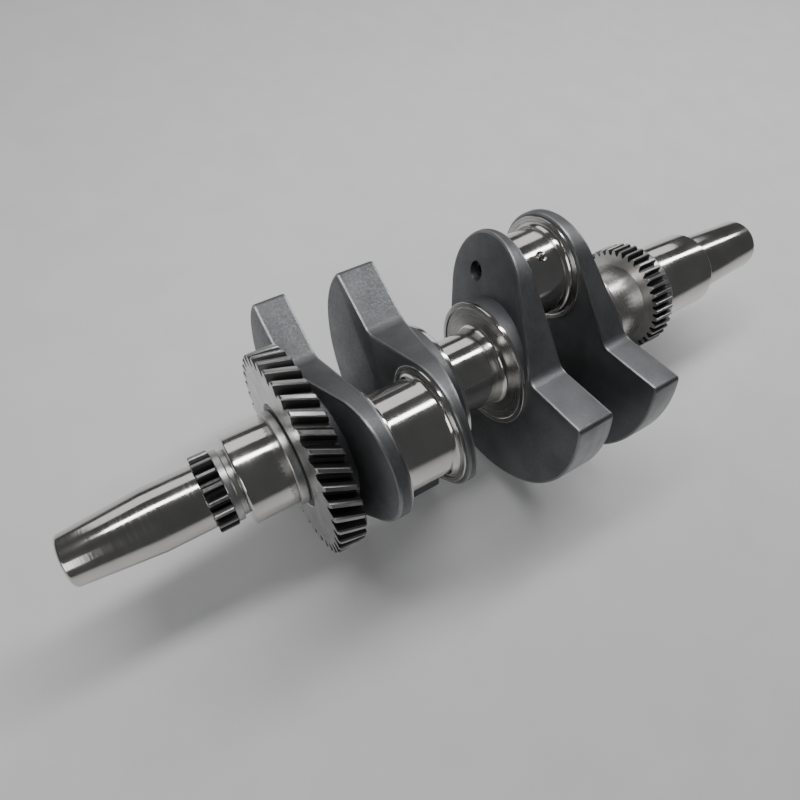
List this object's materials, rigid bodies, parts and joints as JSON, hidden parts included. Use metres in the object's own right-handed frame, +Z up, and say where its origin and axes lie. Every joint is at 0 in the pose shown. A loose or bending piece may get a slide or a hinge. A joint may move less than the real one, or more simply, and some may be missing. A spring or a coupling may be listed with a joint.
{
  "type": "crankshaft",
  "caption": "Two-throw engine crankshaft with counterweighted webs, a balancer gear, smaller drive gears and a long tapered shaft end at each side.",
  "frame": {"origin": "under the middle of the shaft's length, on the flat surface it lies on", "axes": "+X along the main axis from the drive end to the flywheel end; +Z up as it rests on its counterweights with both crankpins raised; crankpin 1 leans towards -Y and crankpin 2 towards +Y"},
  "size_m": [0.4306, 0.147, 0.1309],
  "materials": {
    "forged_steel": "matte, as forged, dark",
    "polished_steel": "ground and polished",
    "machined_steel": "satin, machined",
    "dark_steel": "dark, oiled"
  },
  "bodies": {
    "root": {"balancer_gear": "machined_steel", "balancer_gear_key": "dark_steel", "centre_main_journal": "polished_steel", "crankpin_1": "polished_steel", "crankpin_2": "polished_steel", "drive_taper": "polished_steel", "flywheel_key": "dark_steel", "flywheel_taper": "polished_steel", "front_collar": "machined_steel", "front_main_journal": "polished_steel", "gear_collar": "machined_steel", "oil_plug_1": "dark_steel", "oil_plug_2": "dark_steel", "oil_pump_gear": "machined_steel", "oil_pump_gear_key": "dark_steel", "rear_collar": "machined_steel", "rear_main_journal": "polished_steel", "seal_land": "polished_steel", "timing_gear": "machined_steel", "timing_gear_key": "dark_steel", "web_1": "forged_steel", "web_2": "forged_steel", "web_3": "forged_steel", "web_4": "forged_steel"}
  },
  "joints": []
}
